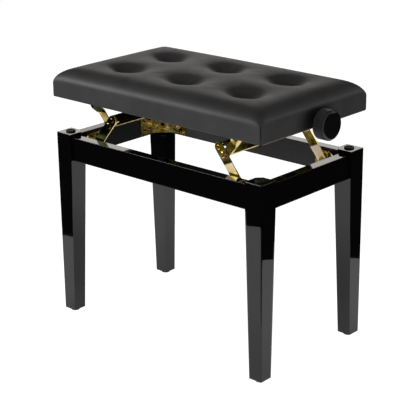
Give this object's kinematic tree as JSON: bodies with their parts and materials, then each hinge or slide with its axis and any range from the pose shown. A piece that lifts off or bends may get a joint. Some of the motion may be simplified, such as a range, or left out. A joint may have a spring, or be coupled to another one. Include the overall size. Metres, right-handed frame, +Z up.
{
  "type": "adjustable piano bench",
  "caption": "Height-adjustable piano bench with a tufted leather seat, crossed-arm spindle lift, side knob and lacquered tapered legs.",
  "frame": {"origin": "on the floor, under the middle of the whole bench including its knob", "axes": "+X along the bench towards the knob, +Y from the front towards the back, +Z up"},
  "size_m": [0.59, 0.322, 0.535],
  "materials": {
    "lacquered_wood": "high-gloss black polyester lacquer outside, plain black stain inside",
    "yellow_plated_steel": "bright yellow-passivated zinc plate with a faint rainbow tint",
    "steel": "turned, lightly oiled",
    "leather": "black fine-grained artificial leather, satin",
    "rubber": "moulded, matte",
    "knob_plastic": "moulded, ribbed rim, smooth satin face",
    "plywood": "raw sanded",
    "foam": "open-cell upholstery foam",
    "twine": "waxed"
  },
  "bodies": {
    "frame": {"leg_front_left": "lacquered_wood", "leg_front_right": "lacquered_wood", "leg_back_left": "lacquered_wood", "leg_back_right": "lacquered_wood", "apron_front": "lacquered_wood", "apron_back": "lacquered_wood", "apron_left": "lacquered_wood", "apron_right": "lacquered_wood", "corner_bracket_front_left": "yellow_plated_steel", "corner_bracket_front_right": "yellow_plated_steel", "corner_bracket_back_left": "yellow_plated_steel", "corner_bracket_back_right": "yellow_plated_steel", "hanger_bolts": "yellow_plated_steel", "hanger_nuts": "yellow_plated_steel", "corner_bracket_screws": "yellow_plated_steel", "leg_bumpers": "rubber", "foot_glides": "rubber", "hinge_bracket_front_left": "yellow_plated_steel", "hinge_bracket_front_right": "yellow_plated_steel", "hinge_bracket_back_left": "yellow_plated_steel", "hinge_bracket_back_right": "yellow_plated_steel", "hinge_bracket_screws": "yellow_plated_steel", "lower_hinge_pins": "yellow_plated_steel"},
    "left_lower_arms": {"lower_arm_front_left": "yellow_plated_steel", "lower_arm_back_left": "yellow_plated_steel", "elbow_rod_left": "yellow_plated_steel", "cross_plate_left": "yellow_plated_steel", "arm_rivets_left": "yellow_plated_steel"},
    "right_lower_arms": {"lower_arm_front_right": "yellow_plated_steel", "lower_arm_back_right": "yellow_plated_steel", "elbow_rod_right": "yellow_plated_steel", "cross_plate_right": "yellow_plated_steel", "arm_rivets_right": "yellow_plated_steel"},
    "left_upper_arm": {"upper_arm_left": "yellow_plated_steel"},
    "right_upper_arm": {"upper_arm_right": "yellow_plated_steel"},
    "left_nut": {"spindle_nut_left": "steel"},
    "right_nut": {"spindle_nut_right": "steel"},
    "spindle_unit": {"spindle": "steel", "spindle_collars": "steel", "knob": "knob_plastic", "knob_screw": "steel"},
    "seat": {"spindle_bush_left": "steel", "spindle_bush_right": "steel", "seat_bracket_front_left": "yellow_plated_steel", "seat_bracket_front_right": "yellow_plated_steel", "seat_bracket_back_left": "yellow_plated_steel", "seat_bracket_back_right": "yellow_plated_steel", "seat_bracket_screws": "yellow_plated_steel", "upper_hinge_pins": "yellow_plated_steel", "seat_board": "plywood", "seat_rail_front": "plywood", "seat_rail_back": "plywood", "seat_rail_left": "plywood", "seat_rail_right": "plywood", "seat_board_screws": "steel", "foam_pad": "foam", "seat_cover": "leather", "tuft_buttons": "leather", "tuft_twine": "twine"}
  },
  "joints": [
    {"name": "seat_lift", "type": "hinge", "parent": "frame", "child": "left_lower_arms", "pos_m": [-0.219, 0, 0.366], "axis": [0, -1, 0], "range_deg": [-34, 14.9]},
    {"name": "left_upper_swing", "type": "hinge", "parent": "left_lower_arms", "child": "left_upper_arm", "pos_m": [-0.17247, 0, 0.4245], "axis": [0, 1, 0], "range_deg": [-68.2, 30]},
    {"name": "seat_level", "type": "hinge", "parent": "left_upper_arm", "child": "seat", "pos_m": [-0.219, 0, 0.483], "axis": [0, -1, 0], "range_deg": [-34.2, 15.1]},
    {"name": "left_nut_level", "type": "hinge", "parent": "left_lower_arms", "child": "left_nut", "pos_m": [-0.12593, 0, 0.483], "axis": [0, 1, 0], "range_deg": [-34.2, 15.1]},
    {"name": "right_lower_swing", "type": "hinge", "parent": "frame", "child": "right_lower_arms", "pos_m": [0.181, 0, 0.366], "axis": [0, 1, 0], "range_deg": [-34.2, 15.1]},
    {"name": "right_upper_swing", "type": "hinge", "parent": "right_lower_arms", "child": "right_upper_arm", "pos_m": [0.13447, 0, 0.4245], "axis": [0, -1, 0], "range_deg": [-68.2, 30]},
    {"name": "right_nut_level", "type": "hinge", "parent": "right_lower_arms", "child": "right_nut", "pos_m": [0.08793, 0, 0.483], "axis": [0, -1, 0], "range_deg": [-34.2, 15.1]},
    {"name": "knob_turn", "type": "hinge", "parent": "seat", "child": "spindle_unit", "pos_m": [-0.019, 0, 0.483], "axis": [1, 0, 0], "range_deg": [-2588, 1136]}
  ],
  "couplings": [
    {"joint": "left_upper_swing", "follows": "seat_lift", "ratio": 2},
    {"joint": "seat_level", "follows": "seat_lift", "ratio": 1},
    {"joint": "left_nut_level", "follows": "seat_lift", "ratio": 1},
    {"joint": "right_lower_swing", "follows": "seat_lift", "ratio": 1},
    {"joint": "right_upper_swing", "follows": "seat_lift", "ratio": 2},
    {"joint": "right_nut_level", "follows": "seat_lift", "ratio": 1},
    {"joint": "knob_turn", "follows": "seat_lift", "ratio": 76}
  ]
}
